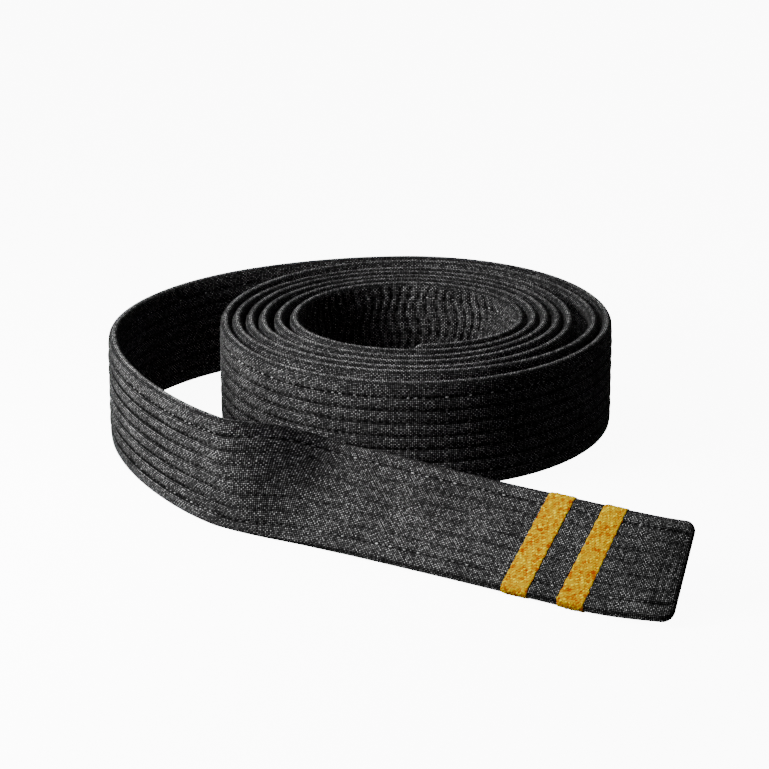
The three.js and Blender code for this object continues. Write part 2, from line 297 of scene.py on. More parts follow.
    def cup(self, s: np.ndarray) -> np.ndarray:
        """Return how much more the strip leans at its top edge than at its bottom one, in radians."""
        bend = self.marks["bend"]
        most = bend + self.cup_most
        rising = smooth(s, bend - self.cup_before, most)
        falling = 1 - smooth(s, most, bend + self.cup_end)
        return self.first_cup * rising * falling

    def frames(self, s: np.ndarray) -> tuple[np.ndarray, np.ndarray, np.ndarray, np.ndarray]:
        """Find where the strip's lower edge is, and how it leans, at any distances along it.

        The lowest point of the rounded edge rests on the floor: a leaning half ellipse reaches
        sqrt((e cos a)^2 + (h sin a)^2) below its centre.

        Args:
            s: Distances, of any shape.

        Returns:
            The foot on the lower edge and the level unit way out of the outer face, each with a
            last axis of 3, the lean at the lower edge, and the cup.
        """
        bearing = np.interp(s, self.s, self.bearing)
        x = np.interp(s, self.s, self.x) + self.centre[0]
        y = np.interp(s, self.s, self.y) + self.centre[1]
        cup = self.cup(s)
        low = self.lean(s) - cup / 2
        e, h = self.strip.edge_depth, self.strip.thickness / 2
        rest = np.hypot(e * np.cos(low), h * np.sin(low)) - e * np.cos(low)
        wrapped = self.stripe_lift * smooth(s, self.marks["bend"], self.marks["tip_hinge"])
        lifted = self.tip_lift * smooth(s, self.marks["stripe_2"], self.marks["tip"]) ** 2
        wound = 1 - smooth(s, self.marks["leave"], self.marks["far_left"])
        uneven = self.winding_lift * (1 + ripple(s, self.winding_wave, 2.0)) * wound
        foot = np.stack([x, y, rest + wrapped + lifted + uneven], axis=-1)
        side = np.stack([np.sin(bearing), -np.cos(bearing), np.zeros_like(bearing)], axis=-1)
        return foot, side, low, cup

    def place(self, s: np.ndarray, w: np.ndarray, d: np.ndarray) -> np.ndarray:
        """Turn strip coordinates into points of the row frame.

        A cupped strip is an arc across its width, and chord is the straight line from its foot
        to the height w: w sin(t) / t, with t half the turn between the two.

        Args:
            s: Distances along the strip.
            w: Heights up its width.
            d: Depths towards its outer face.

        Returns:
            Points, with a last axis of 3.
        """
        foot, side, low, cup = self.frames(s)
        here = low + cup * w / self.strip.width
        middle = (low + here) / 2
        chord = w * np.sinc((here - low) / TAU)
        level = d * np.cos(here) - chord * np.sin(middle)
        rise = chord * np.cos(middle) + d * np.sin(here)
        return foot + side * level[..., None] + np.array([0, 0, 1]) * rise[..., None]


@dataclass
class Relief:
    """What sewing and bending do to the faces of the strip: grooves, puffs, puckers and creases."""

    route: Route
    flat_depth: float = 0.16 * MM
    edge_row_depth: float = 0.34 * MM  # of the two outer rows where the strip runs flat
    coil_depth: float = 0.42 * MM
    bent_depth: float = 0.70 * MM
    inner_share: float = 0.45  # how deep the rows sink into the inner face beside the outer one
    pucker: float = 0.06 * MM
    crease: float = 0.55 * MM
    crease_length: float = 3.9 * MM
    crease_wander: float = 1.1 * MM
    creased_turns: tuple[float, float] = (5.3, 5.6)  # where the creases begin, and where they are full
    swell: float = 0.10 * MM  # slow unevenness of the whole face
    swell_length: float = 23 * MM
    end_row_depth: float = 0.16 * MM
    end_row_half_width: float = 0.8 * MM
    puff_share: float = 0.55  # how high the cloth puffs between rows, beside how deep they sink
    end_rows: tuple[float, ...] = (3 * MM, 5.5 * MM, 8 * MM)

    def groove_depth(self, s: np.ndarray, w: np.ndarray) -> np.ndarray:
        """Find how deep the stitch rows sink: shallow where the strip runs flat, deep where it bends.

        Args:
            s: Distances along the strip.
            w: Heights up its width.

        Returns:
            The depth at each place.
        """
        marks = self.route.marks
        rows = self.route.strip.rows()
        inwards = np.minimum(np.abs(w - rows[0]), np.abs(w - rows[-1]))
        edge_row = 1 - smooth(inwards, 0.3 * self.route.strip.row_pitch, 0.6 * self.route.strip.row_pitch)
        flat_depth = self.flat_depth + (self.edge_row_depth - self.flat_depth) * edge_row
        loop = smooth(s, marks["leave"], marks["far_left"] - 40 * MM)
        flat = smooth(s, marks["bend"] - 45 * MM, marks["bend"] + 20 * MM)
        bent = self.coil_depth + (self.bent_depth - self.coil_depth) * loop
        return bent + (flat_depth - bent) * flat

    def height(self, s: np.ndarray, w: np.ndarray, side: np.ndarray) -> np.ndarray:
        """Find how far a face stands out from flat.

        A groove is a bell curve across each row and a puff a raised cosine between rows. Beside
        a row the cloth puckers at the pitch of the stitches. The inner face of the inner turns is
        creased by waves that wander as they climb the width.

        Args:
            s: Distances along the strip.
            w: Heights up its width.
            side: 1 for the outer face, -1 for the inner one, 0 for an edge.

        Returns:
            The offset along the face's own outward way.
        """
        strip = self.route.strip
        rows = strip.rows()
        depth = self.groove_depth(s, w)
        near = np.stack([np.exp(-(((w - row) / strip.groove_half_width) ** 2)) for row in rows]).sum(0)
        reach = 2.6 * strip.groove_half_width
        wide = np.stack([np.exp(-(((w - row) / reach) ** 2)) for row in rows]).sum(0)
        sewn = smooth(w, rows[0] - 4 * MM, rows[0]) * (1 - smooth(w, rows[-1], rows[-1] + 4 * MM))
        puff = 0.5 - 0.5 * np.cos(TAU * (w - rows[0]) / strip.row_pitch)
        pulled = wide * np.cos(TAU * s / strip.stitch_pitch + side)
        face = np.abs(side)
        from_tip = self.route.length - s
        ends = sum(np.exp(-(((from_tip - e) / self.end_row_half_width) ** 2)) for e in self.end_rows)
        depth = depth * np.where(side < 0, self.inner_share, 1)
        grooves = depth * (self.puff_share * puff * sewn - near)
        shape = face * (grooves - self.end_row_depth * ends + self.pucker * pulled)
        swell = self.swell * ripple(s + 0.9 * w, self.swell_length, 5.0) * face
        return shape + swell + self._creases(s, w, side)

    def _creases(self, s: np.ndarray, w: np.ndarray, side: np.ndarray) -> np.ndarray:
        """Return the wandering creases of the inner face, deepest in the innermost turn."""
        begin, full = self.creased_turns
        inner = 1 - smooth(s, self.route.turn_at(full), self.route.turn_at(begin))
        wander = self.crease_wander * np.sin(TAU * w / (19 * MM) + s / (9 * MM))
        wave = np.sin(TAU * (s + wander) / self.crease_length + 0.8 * ripple(s, 40 * MM, 1.0))
        strong = 0.55 + 0.45 * ripple(s, 60 * MM, 3.0)
        return self.crease * inner * strong * wave * (side < 0)

    def taper(self, s: np.ndarray) -> tuple[np.ndarray, np.ndarray]:
        """Find how each end of the belt closes.

        Args:
            s: Distances along the strip.

        Returns:
            The share of the thickness left, a quarter ellipse, and how much the rounded corners
            trim each edge.
        """
        strip = self.route.strip
        near = np.minimum(s, self.route.length - s)
        share = np.sqrt(np.clip(1 - (1 - np.clip(near / strip.end_round, 0, 1)) ** 2, 0.0004, 1))
        radius = strip.corner_radius
        trim = radius - np.sqrt(np.maximum(radius**2 - np.clip(radius - near, 0, radius) ** 2, 0))
        return share, trim

    def surface(self, s: np.ndarray, w: np.ndarray, d: np.ndarray, side: np.ndarray) -> np.ndarray:
        """Place points of the finished surface, relief and end rounding included.

        Args:
            s: Distances along the strip.
            w: Heights of the plain section.
            d: Depths of the plain section.
            side: Which face each point is on.

        Returns:
            Points of the row frame, with a last axis of 3.
        """
        share, trim = self.taper(s)
        middle = self.route.strip.width / 2
        squeezed = middle + (w - middle) * (1 - trim / middle)
        depth = (d + np.sign(side) * self.height(s, w, side)) * share
        return self.route.place(s, squeezed, depth)


# ---- Finishes ----


class Wiring:
    """One material's nodes, wired by short calls."""

    def __init__(self, name: str) -> None:
        """Start a material with an empty shader.

        Args:
            name: The material's name.
        """
        self.material = bpy.data.materials.new(name)
        self.material.use_nodes = True
        self.tree = self.material.node_tree
        self.shader = self.tree.nodes["Principled BSDF"]

    def node(self, kind: str, **settings: object) -> bpy.types.Node:
        """Add a node and set its properties."""
        made = self.tree.nodes.new(kind)
        for key, value in settings.items():
            setattr(made, key, value)
        return made

    def feed(self, socket: bpy.types.NodeSocket, value: object) -> None:
        """Link a socket into another, or set it to a plain value."""
        if isinstance(value, bpy.types.NodeSocket):
            self.tree.links.new(value, socket)
        else:
            socket.default_value = value

    def math(self, operation: str, *inputs: object, clamp: bool = False) -> bpy.types.NodeSocket:
        """Add a Math node.

        Args:
            operation: The node's operation.
            inputs: Sockets or numbers.
            clamp: Keep the result in 0..1.

        Returns:
            The result's socket.
        """
        made = self.node("ShaderNodeMath", operation=operation, use_clamp=clamp)
        for socket, value in zip(made.inputs, inputs):
            self.feed(socket, value)
        return made.outputs[0]

    def mix(self, share: object, a: object, b: object) -> bpy.types.NodeSocket:
        """Mix two colours by a share and return the result's socket."""
        made = self.node("ShaderNodeMix", data_type="RGBA")
        self.feed(made.inputs["Factor"], share)
        self.feed(made.inputs[6], a)
        self.feed(made.inputs[7], b)
        return made.outputs[2]

    def span(
        self, value: object, low: float, high: float, to_low: float = 0, to_high: float = 1
    ) -> bpy.types.NodeSocket:
        """Carry a value from low..high to to_low..to_high, held at both ends."""
        made = self.node("ShaderNodeMapRange", clamp=True)
        for socket, number in zip(made.inputs, (value, low, high, to_low, to_high)):
            self.feed(socket, number)
        return made.outputs[0]

    def along_across(self) -> tuple[bpy.types.NodeSocket, bpy.types.NodeSocket]:
        """Return the piece's own metres along the strip and round it, from its UV map."""
        parts = self.node("ShaderNodeSeparateXYZ")
        self.feed(parts.inputs[0], self.node("ShaderNodeUVMap", uv_map="cloth").outputs[0])
        return parts.outputs[0], parts.outputs[1]

    def noise(self, scale: float, detail: float = 2) -> bpy.types.NodeSocket:
        """Return a noise on object coordinates, with scale in cells for each metre."""
        made = self.node("ShaderNodeTexNoise")
        self.feed(made.inputs["Vector"], self.node("ShaderNodeTexCoord").outputs["Object"])
        made.inputs["Scale"].default_value = scale
        made.inputs["Detail"].default_value = detail
        return made.outputs[0]

    def chance(self, a: bpy.types.NodeSocket, b: bpy.types.NodeSocket) -> bpy.types.NodeSocket:
        """Return an even random value for each pair of whole numbers."""
        pair = self.node("ShaderNodeCombineXYZ")
        self.feed(pair.inputs[0], a)
        self.feed(pair.inputs[1], b)
        made = self.node("ShaderNodeTexWhiteNoise", noise_dimensions="2D")
        self.feed(made.inputs["Vector"], pair.outputs[0])
        return made.outputs[0]

    def attribute(self, name: str) -> bpy.types.NodeSocket:
        """Return a piece's own attribute as a number."""
        return self.node("ShaderNodeAttribute", attribute_name=name).outputs["Fac"]

    def bump(self, height: bpy.types.NodeSocket, distance: float, strength: float = 1) -> None:
        """Bump the shader's surface by a height in 0..1 times a distance in metres."""
        made = self.node("ShaderNodeBump")
        made.inputs["Distance"].default_value = distance
        made.inputs["Strength"].default_value = strength
        self.feed(made.inputs["Height"], height)
        self.feed(self.shader.inputs["Normal"], made.outputs[0])


@dataclass(frozen=True)
class CanvasCotton:
    """Black plain-weave cotton: yarn crowns in a chequer, with painted shade between them and painted
    highlights on them, stronger on some crowns than others.
    """

    name: str = "canvas_cotton"
    along_pitch: float = 0.66 * MM
    across_pitch: float = 0.62 * MM
    shadow: tuple[float, ...] = (0.0010, 0.0010, 0.0011, 1)
    yarn: tuple[float, ...] = (0.006, 0.006, 0.0062, 1)
    # glint: the colour of the painted highlights on the yarn crowns
    glint: tuple[float, ...] = (0.90, 0.90, 0.90, 1)
    gloss: float = 0.35  # how much of a bright crown's light is a reflection off its yarn
    glint_falloff: float = 2.4  # how fast the painted highlight dies away from the top of a crown
    yarn_falloff: float = 1.3
    luck_falloff: float = 1.8  # the higher, the fewer crowns carry a bright painted highlight
    least_luck: float = 0.10
    patch_scale: float = 60  # cells for each metre of the slow change from one patch to the next
    patch_noise: tuple[float, float] = (0.35, 0.68)  # the noise of the darkest and lightest patches
    least_patch: float = 0.6
    edge_wear_and_highlight: float = 2.4  # how much brighter the line along a folded edge is than the faces: wear, with a painted highlight
    line_crest: tuple[float, float] = (0.45, 0.9)  # where on the way up the edge the line fades in
    flank_share: float = 0.35  # painted shade: how bright the edge is beside that line
    flank_crest: tuple[float, float] = (0.05, 0.35)
    under_share: float = 0.40  # how strong the painted highlight is on the crowns that pass under, beside those that pass over
    under_height: float = 0.55  # how high they are
    least_height: float = 0.7  # the lowest crown beside the highest
    groove_relief: tuple[float, float] = (0.22, 0.52)  # painted shade in the grooves: dark at the first relief, lit from the second
    groove_share: float = 0.03  # how bright the painted shade at the bottom of a groove is
    bump_height: float = 0.16 * MM
    roughness: float = 0.6
    specular: float = 0.02

    def material(self) -> bpy.types.Material:
        """Build the material and return it."""
        wiring = Wiring(self.name)
        along, across = wiring.along_across()
        a = wiring.math("DIVIDE", along, self.along_pitch)
        b = wiring.math("DIVIDE", across, self.across_pitch)
        cell_a = wiring.math("FLOOR", a)
        cell_b = wiring.math("FLOOR", b)
        ridge_a = wiring.math("SINE", wiring.math("MULTIPLY", wiring.math("FRACT", a), np.pi))
        ridge_b = wiring.math("SINE", wiring.math("MULTIPLY", wiring.math("FRACT", b), np.pi))
        crown = wiring.math("MULTIPLY", ridge_a, ridge_b)
        over = wiring.math("PINGPONG", wiring.math("ADD", cell_a, cell_b), 1)
        luck = wiring.chance(cell_a, cell_b)
        # Painted shade in the grooves and beside each edge line, and a worn edge line with a painted
        # highlight
        wear_and_painted_light = self._wear_and_painted_light(wiring)
        bright = self._brightness(wiring, crown, over, luck)
        # Painted highlights on the crowns: the glint colour is mixed in, with a metallic share beside it
        shining = wiring.math("MULTIPLY", bright, wear_and_painted_light, clamp=True)
        lit = wiring.math("MULTIPLY", wiring.math("POWER", crown, self.yarn_falloff), wear_and_painted_light)
        cloth = wiring.mix(lit, self.shadow, self.yarn)
        wiring.feed(wiring.shader.inputs["Base Color"], wiring.mix(shining, cloth, self.glint))
        wiring.feed(wiring.shader.inputs["Metallic"], wiring.math("MULTIPLY", shining, self.gloss))
        wiring.shader.inputs["Roughness"].default_value = self.roughness
        wiring.shader.inputs["Specular IOR Level"].default_value = self.specular
        rise = wiring.math("MULTIPLY_ADD", over, 1 - self.under_height, self.under_height)
        uneven = wiring.math("MULTIPLY", rise, wiring.span(luck, 0, 1, self.least_height, 1))
        wiring.bump(wiring.math("MULTIPLY", crown, uneven), self.bump_height)
        return wiring.material

    def _wear_and_painted_light(self, wiring: Wiring) -> bpy.types.NodeSocket:
        """Return how light the cloth is by where it is: painted shade in the grooves and on the flanks of
        each edge, and a bright line along each edge that is wear with a painted highlight.
        """
        # Painted shade: the grooves darken towards groove_share of the cloth's brightness
        raised = wiring.span(wiring.attribute("relief"), *self.groove_relief, self.groove_share, 1)
        crest = wiring.attribute("crest")
        flank = wiring.span(crest, *self.flank_crest, 1, self.flank_share)
        line = wiring.math("POWER", wiring.span(crest, *self.line_crest), 2)
        return wiring.math("MULTIPLY", raised, wiring.math("MULTIPLY_ADD", line, self.edge_wear_and_highlight, flank))

    def _brightness(
        self,
        wiring: Wiring,
        crown: bpy.types.NodeSocket,
        over: bpy.types.NodeSocket,
        luck: bpy.types.NodeSocket,
    ) -> bpy.types.NodeSocket:
        """Work out how strong the painted highlight on each crown is.

        Args:
            wiring: The material's nodes.
            crown: How near the top of its crown a point is.
            over: 1 where the crown passes over, 0 where it passes under.
            luck: The crown's own random value.

        Returns:
            The share of the glint's colour.
        """
        slow = wiring.noise(self.patch_scale, 3)
        patch = wiring.span(slow, *self.patch_noise, self.least_patch, 1)
        fortune = wiring.math("POWER", luck, self.luck_falloff)
        lucky = wiring.math("MULTIPLY_ADD", fortune, 1 - self.least_luck, self.least_luck)
        top = wiring.math("POWER", crown, self.glint_falloff)
        bright = wiring.math("MULTIPLY", top, wiring.math("MULTIPLY", lucky, patch))
        return wiring.math(
            "MULTIPLY", bright, wiring.math("MULTIPLY_ADD", over, 1 - self.under_share, self.under_share)
        )


@dataclass(frozen=True)
class BlackThread:
    """Black sewing thread with a slight shine, twisted, with a painted glint in the light colour on some
    stitches.
    """

    name: str = "black_thread"
    dark: tuple[float, ...] = (0.004, 0.004, 0.0042, 1)
    # light: the colour of the painted glint on the brightest stitches
    light: tuple[float, ...] = (0.85, 0.85, 0.85, 1)
    twist_pitch: float = 0.35 * MM
    twist_slant: float = 0.8
    twist_height: float = 0.05 * MM
    stitch_glint_falloff: float = 3  # the higher, the fewer stitches carry a bright painted glint
    roughness: float = 0.55
    specular: float = 0.15

    def material(self) -> bpy.types.Material:
        """Build the material and return it."""
        wiring = Wiring(self.name)
        along, across = wiring.along_across()
        slant = wiring.math("ADD", along, wiring.math("MULTIPLY", across, self.twist_slant))
        ply = wiring.math("SINE", wiring.math("MULTIPLY", slant, TAU / self.twist_pitch))
        # Painted glint on each stitch, strongest on a few, broken by the twist
        stitch_glint = wiring.math("POWER", wiring.attribute("stitch_glint"), self.stitch_glint_falloff)
        share = wiring.math("MULTIPLY", stitch_glint, wiring.span(ply, -1, 1, 0.5, 1))
        wiring.feed(wiring.shader.inputs["Base Color"], wiring.mix(share, self.dark, self.light))
        wiring.shader.inputs["Roughness"].default_value = self.roughness
        wiring.shader.inputs["Specular IOR Level"].default_value = self.specular
        wiring.bump(wiring.span(ply, -1, 1), self.twist_height)
        return wiring.material


@dataclass(frozen=True)
class GoldYarn:
    """Golden yellow embroidery yarn: pebbled, with painted shade of deep orange in the hollows and a pale
    painted highlight on the crowns.
    """

    name: str = "gold_yarn"
    # deep is the painted shade of the hollows, pale the painted highlight of the crowns
    deep: tuple[float, ...] = (0.30, 0.035, 0.0, 1)
    gold: tuple[float, ...] = (0.47, 0.285, 0.0, 1)
    pale: tuple[float, ...] = (0.86, 0.68, 0.0, 1)
    grain_scale: float = 1100.0
    patch_scale: float = 420.0
    patch_share: float = 0.5  # how much the patches shift where the deep orange shows
    deep_to_gold: tuple[float, float] = (0.34, 0.60)  # heights on a pebble over which the painted shade gives way to gold
    gold_to_pale: tuple[float, float] = (0.26, 0.42)
    grain_height: float = 0.12 * MM
    roughness: float = 0.6

    def material(self) -> bpy.types.Material:
        """Build the material and return it."""
        wiring = Wiring(self.name)
        crown = wiring.attribute("relief")
        grain = wiring.noise(self.grain_scale, 2)
        patch = wiring.noise(self.patch_scale, 2)
        # Painted shade in the hollows, shifted by the patches, and painted highlights on the crowns
        hollow = wiring.math("ADD", crown, wiring.math("MULTIPLY", patch, self.patch_share))
        low = wiring.mix(wiring.span(hollow, *self.deep_to_gold), self.deep, self.gold)
        high = wiring.span(wiring.math("MULTIPLY", crown, grain), *self.gold_to_pale)
        wiring.feed(wiring.shader.inputs["Base Color"], wiring.mix(high, low, self.pale))
        wiring.shader.inputs["Roughness"].default_value = self.roughness
        wiring.shader.inputs["Specular IOR Level"].default_value = 0.0
        wiring.bump(grain, self.grain_height)
        return wiring.material


# ---- Meshes ----


def make_piece(
    name: str, points: np.ndarray, faces: list, material: bpy.types.Material
) -> bpy.types.Object:
    """Make one smooth-shaded object from points and faces.

    Args:
        name: The piece's name.
        points: Vertices, one row each.
        faces: Lists of vertex numbers.
        material: Its finish.

    Returns:
        The object, at the origin.
    """
    mesh = bpy.data.meshes.new(name)
    mesh.from_pydata(points.reshape(-1, 3), [], faces)
    mesh.polygons.foreach_set("use_smooth", np.ones(len(mesh.polygons), bool))
    mesh.materials.append(material)
    piece = bpy.data.objects.new(name, mesh)
    bpy.context.scene.collection.objects.link(piece)
    return piece


def paint(piece: bpy.types.Object, name: str, values: np.ndarray) -> None:
    """Store one number for each vertex of a piece under an attribute's name."""
    made = piece.data.attributes.new(name, "FLOAT", "POINT")
    made.data.foreach_set("value", np.ascontiguousarray(values, np.float32).ravel())


def lay_cloth(piece: bpy.types.Object, along: np.ndarray, across: np.ndarray) -> None:
    """Store the piece's cloth coordinates, one pair for each face corner."""
    made = piece.data.uv_layers.new(name="cloth")
    pairs = np.stack([along.ravel(), across.ravel()], axis=1)
    made.data.foreach_set("uv", pairs.astype(np.float32).ravel())


def ring_quads(rings: int, count: int) -> np.ndarray:
    """Join rings of points into quads that face outwards.

    Args:
        rings: How many rings.
        count: Points in each, the last joined to the first.

    Returns:
        One row of four vertex numbers for each quad.
    """
    i, j = np.meshgrid(np.arange(rings - 1), np.arange(count), indexing="ij")
    k = (j + 1) % count
    here, there = i * count, (i + 1) * count
    return np.stack([here + j, there + j, there + k, here + k], axis=-1).reshape(-1, 4)


class Hold(Enum):
    """Which bodies hold a stretch of the strip."""

    COIL = ("coiled_length",)
    LOOP = ("coiled_length", "loose_tail")
    END = ("loose_tail", "striped_tip")


@dataclass
class Stretch:
    """One length of the strip that is made as pieces of its own."""

    label: str
    start: float
    stop: float
    step: float
    hold: Hold
    blend_from: Vector | None = None
    blend_to: Vector | None = None

    def fix(self, piece: bpy.types.Object) -> None:
        """Let a piece ride on its body, or, where two bodies hold it, bake its place into its points."""
        if len(self.hold.value) == 1:
            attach(piece, self.hold.value[0])
        else:
            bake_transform(piece)


@dataclass
class Cover:
    """The folded black cover of the belt, round the core plies that it hides."""

    relief: Relief
    finish: bpy.types.Material
    face_points: int = 61
    edge_points: int = 8
    end_steps: float = 4 * MM  # how far from an end the rings stand close together
    end_rings: int = 11

    def stations(self, stretch: Stretch) -> np.ndarray:
        """Return the distances of a stretch's rings, close together where an end rounds over."""
        steps = int((stretch.stop - stretch.start) / stretch.step)
        even = np.linspace(stretch.start, stretch.stop, steps + 1)
        close = self.end_steps * np.arange(1, self.end_rings + 1) ** 2 / self.end_rings**2
        clear = close[-1] + stretch.step / 3
        length = self.relief.route.length
        if stretch.start == 0:
            even = np.concatenate([[0], close, even[even > clear]])
        if stretch.stop == length:
            even = np.concatenate([even[even < length - clear], length - close[::-1], [length]])
        return even

    def build(self, stretch: Stretch) -> bpy.types.Object:
        """Sweep the section along a stretch and close both ends.

        Args:
            stretch: The stretch to cover.

        Returns:
            The piece.
        """
        strip = self.relief.route.strip
        w, d, side = strip.outline(self.face_points, self.edge_points)
        s = self.stations(stretch)
        grid_s, grid_w = np.meshgrid(s, w, indexing="ij")
        grid_d, grid_side = np.broadcast_to(d, grid_s.shape), np.broadcast_to(side, grid_s.shape)
        points = self.relief.surface(grid_s, grid_w, grid_d, grid_side)
        rings, count = grid_s.shape
        quads = ring_quads(rings, count)
        j = np.arange(count)
        k = (j + 1) % count
        last = (rings - 1) * count
        first_cap = np.stack([np.full(count, rings * count), j, k], axis=1)
        last_cap = np.stack([np.full(count, rings * count + 1), last + k, last + j], axis=1)
        middles = np.stack([points[0].mean(0), points[-1].mean(0)])
        everything = np.concatenate([points.reshape(-1, 3), middles])
        faces = [*quads.tolist(), *first_cap.tolist(), *last_cap.tolist()]
        piece = make_piece(f"cover_{stretch.label}", everything, faces, self.finish)
        self._shade_ends(piece, rings, count)
        run = np.hypot(np.diff(np.append(w, w[0])), np.diff(np.append(d, d[0])))
        girth = np.concatenate([[0], np.cumsum(run)])
        i_low = np.repeat(np.arange(rings - 1), count)
        j_low = np.tile(j, rings - 1)
        along = np.stack([s[i_low], s[i_low + 1], s[i_low + 1], s[i_low]], axis=1)
        across = np.stack([girth[j_low], girth[j_low], girth[j_low + 1], girth[j_low + 1]], axis=1)
        cap_uv = np.zeros(6 * count)
        lay_cloth(piece, np.append(along.ravel(), cap_uv), np.append(across.ravel(), cap_uv))
        height = self.relief.height(grid_s, grid_w, grid_side) / self.relief.bent_depth
        paint(piece, "relief", np.append((0.5 + 0.5 * height).ravel(), [0.0, 0.0]))
        crest = (1 - np.abs(grid_side)) * (1 - np.abs(grid_d) / (strip.thickness / 2)) ** 0.7
        paint(piece, "crest", np.append(crest.ravel(), [0.0, 0.0]))
        stretch.fix(piece)
        return piece

    @staticmethod
    def _shade_ends(piece: bpy.types.Object, rings: int, count: int) -> None:
        """Keep the closing faces out of the smooth shading of the sides."""
        edges = np.empty(len(piece.data.edges) * 2, int)
        piece.data.edges.foreach_get("vertices", edges)
        pair = edges.reshape(-1, 2)
        first = (pair < count).all(1)
        last = ((pair >= (rings - 1) * count) & (pair < rings * count)).all(1)
        piece.data.edges.foreach_set("use_edge_sharp", first | last)


@dataclass
class StitchRows:
    """Lockstitch rows: raised stitches in the grooves of both faces, and rows across each end."""

    relief: Relief
    finish: bpy.types.Material
    stitch_length: float = 1.35 * MM
    thread_width: float = 0.56 * MM
    thread_height: float = 0.30 * MM
    inner_gleam: float = 0.55  # how strong the painted glint on a stitch of the inner rows can be beside one of the outer two
    slant: float = 0.09
    end_sink: float = 0.14 * MM  # how far each end of a stitch goes down into the cloth
    pitch_waver: float = 0.25 * MM
    row_waver: float = 0.16 * MM
    end_stop: float = 10 * MM

    def _stitches(
        self, name: str, s: np.ndarray, w: np.ndarray, side: np.ndarray, crosswise: bool, gleam: float
    ) -> bpy.types.Object:
        """Make one piece of many stitches, each a short spindle lying in its groove.

        A spindle is three rings of six points between two end points, with its radius the root
        of one minus the square of the way along it.

        Args:
            name: The piece's name.
            s: Where each stitch is along the strip.
            w: Where each is up its width.
            side: Which face each is on, 1 or -1.
            crosswise: True if the stitches run up the width.
            gleam: How strong the brightest painted glint on a stitch is.

        Returns:
            The piece.
        """
        reach = np.array([-0.62, 0.0, 0.62])
        ring = np.arange(6) * TAU / 6
        size = np.sqrt(1 - reach**2)
        long = np.concatenate([[-1], np.repeat(reach, 6), [1]]) * self.stitch_length / 2
        flat = np.concatenate([[0], np.outer(size, np.cos(ring)).ravel(), [0]]) * self.thread_width / 2
        tall = np.concatenate([[0], np.outer(size, np.sin(ring)).ravel(), [0]]) * self.thread_height
        number = np.arange(len(s))
        slant = self.slant * (0.6 + 0.8 * scatter(number, 4.0))[:, None] * np.sign(side)[:, None]
        wide = flat[None] * (0.85 + 0.3 * scatter(number, 7.0))[:, None] + slant * long[None]
        run = np.broadcast_to(long, wide.shape)
        along, up = (wide, run) if crosswise else (run, wide)
        grid_s = s[:, None] + along
        grid_w = w[:, None] + up
        half = self.relief.route.strip.thickness / 2
        base_s, base_w = np.broadcast_to(s[:, None], grid_s.shape), np.broadcast_to(w[:, None], grid_s.shape)
        grid_side = np.broadcast_to(side[:, None], grid_s.shape)
        bed = half + self.relief.height(base_s, base_w, grid_side)
        sink = self.end_sink * (np.abs(long) / (self.stitch_length / 2)) ** 2
        depth = (bed + tall[None] * (0.8 + 0.4 * scatter(number, 9.0))[:, None] - sink[None]) * grid_side
        points = self.relief.route.place(grid_s, grid_w, depth)
        piece = make_piece(name, points, self._faces(len(s), side, crosswise), self.finish)
        corners = np.empty(len(piece.data.loops), int)
        piece.data.loops.foreach_get("vertex_index", corners)
        lay_cloth(piece, grid_s.ravel()[corners], grid_w.ravel()[corners])
        # Each stitch's share of the painted glint
        paint(piece, "stitch_glint", np.repeat(gleam * scatter(number, 1.0), len(long)))
        return piece

    @staticmethod
    def _faces(count: int, side: np.ndarray, crosswise: bool) -> list:
        """Join each spindle's 20 points into quads and end triangles, facing outwards on either face."""
        j = np.arange(6)
        k = (j + 1) % 6
        rings = ((1, 7), (7, 13))
        quads = np.concatenate([np.stack([a + j, b + j, b + k, a + k], axis=1) for a, b in rings])
        fans = np.concatenate([
            np.stack([np.zeros(6, int), 1 + j, 1 + k], axis=1),
            np.stack([np.full(6, 19), 13 + k, 13 + j], axis=1),
        ])
        turned = (side < 0) != crosswise
        offsets = np.arange(count) * 20
        faces = []
        for table in (quads, fans):
            plain = table[None] + offsets[~turned][:, None, None]
            other = table[None, :, ::-1] + offsets[turned][:, None, None]
            faces += plain.reshape(-1, table.shape[1]).tolist() + other.reshape(-1, table.shape[1]).tolist()
        return faces

    def lengthwise(self, row: int, stretch: Stretch) -> bpy.types.Object:
        """Sew one lengthwise row on both faces of a stretch.

        Args:
            row: Its number from 0, counted up the width.
            stretch: The stretch to sew.

        Returns:
            The piece.
        """
        route = self.relief.route
        pitch = route.strip.stitch_pitch
        first = int(np.ceil(max(stretch.start, self.end_stop) / pitch))
        last = int(np.floor(min(stretch.stop, route.length - self.end_stop) / pitch))
        number = np.arange(first, last + 1)
        s = number * pitch + self.pitch_waver * (scatter(number, row) - 0.5)
        bare = (s > stretch.start + self.stitch_length / 2) & (s < stretch.stop - self.stitch_length / 2)
        s = s[bare] if stretch.start > 0 else s
        w = route.strip.rows()[row] + self.row_waver * ripple(s, 70 * MM, row)
        both = np.concatenate([np.ones(len(s)), -np.ones(len(s))])
        under = s + pitch / 2
        name = f"stitch_row_{row + 1}_{stretch.label}"
        # The two outer rows carry the strongest painted glints
        gleam = 1 if row in (0, route.strip.row_count - 1) else self.inner_gleam
        piece = self._stitches(name, np.concatenate([s, under]), np.concatenate([w, w]), both, False, gleam)
        stretch.fix(piece)
        return piece

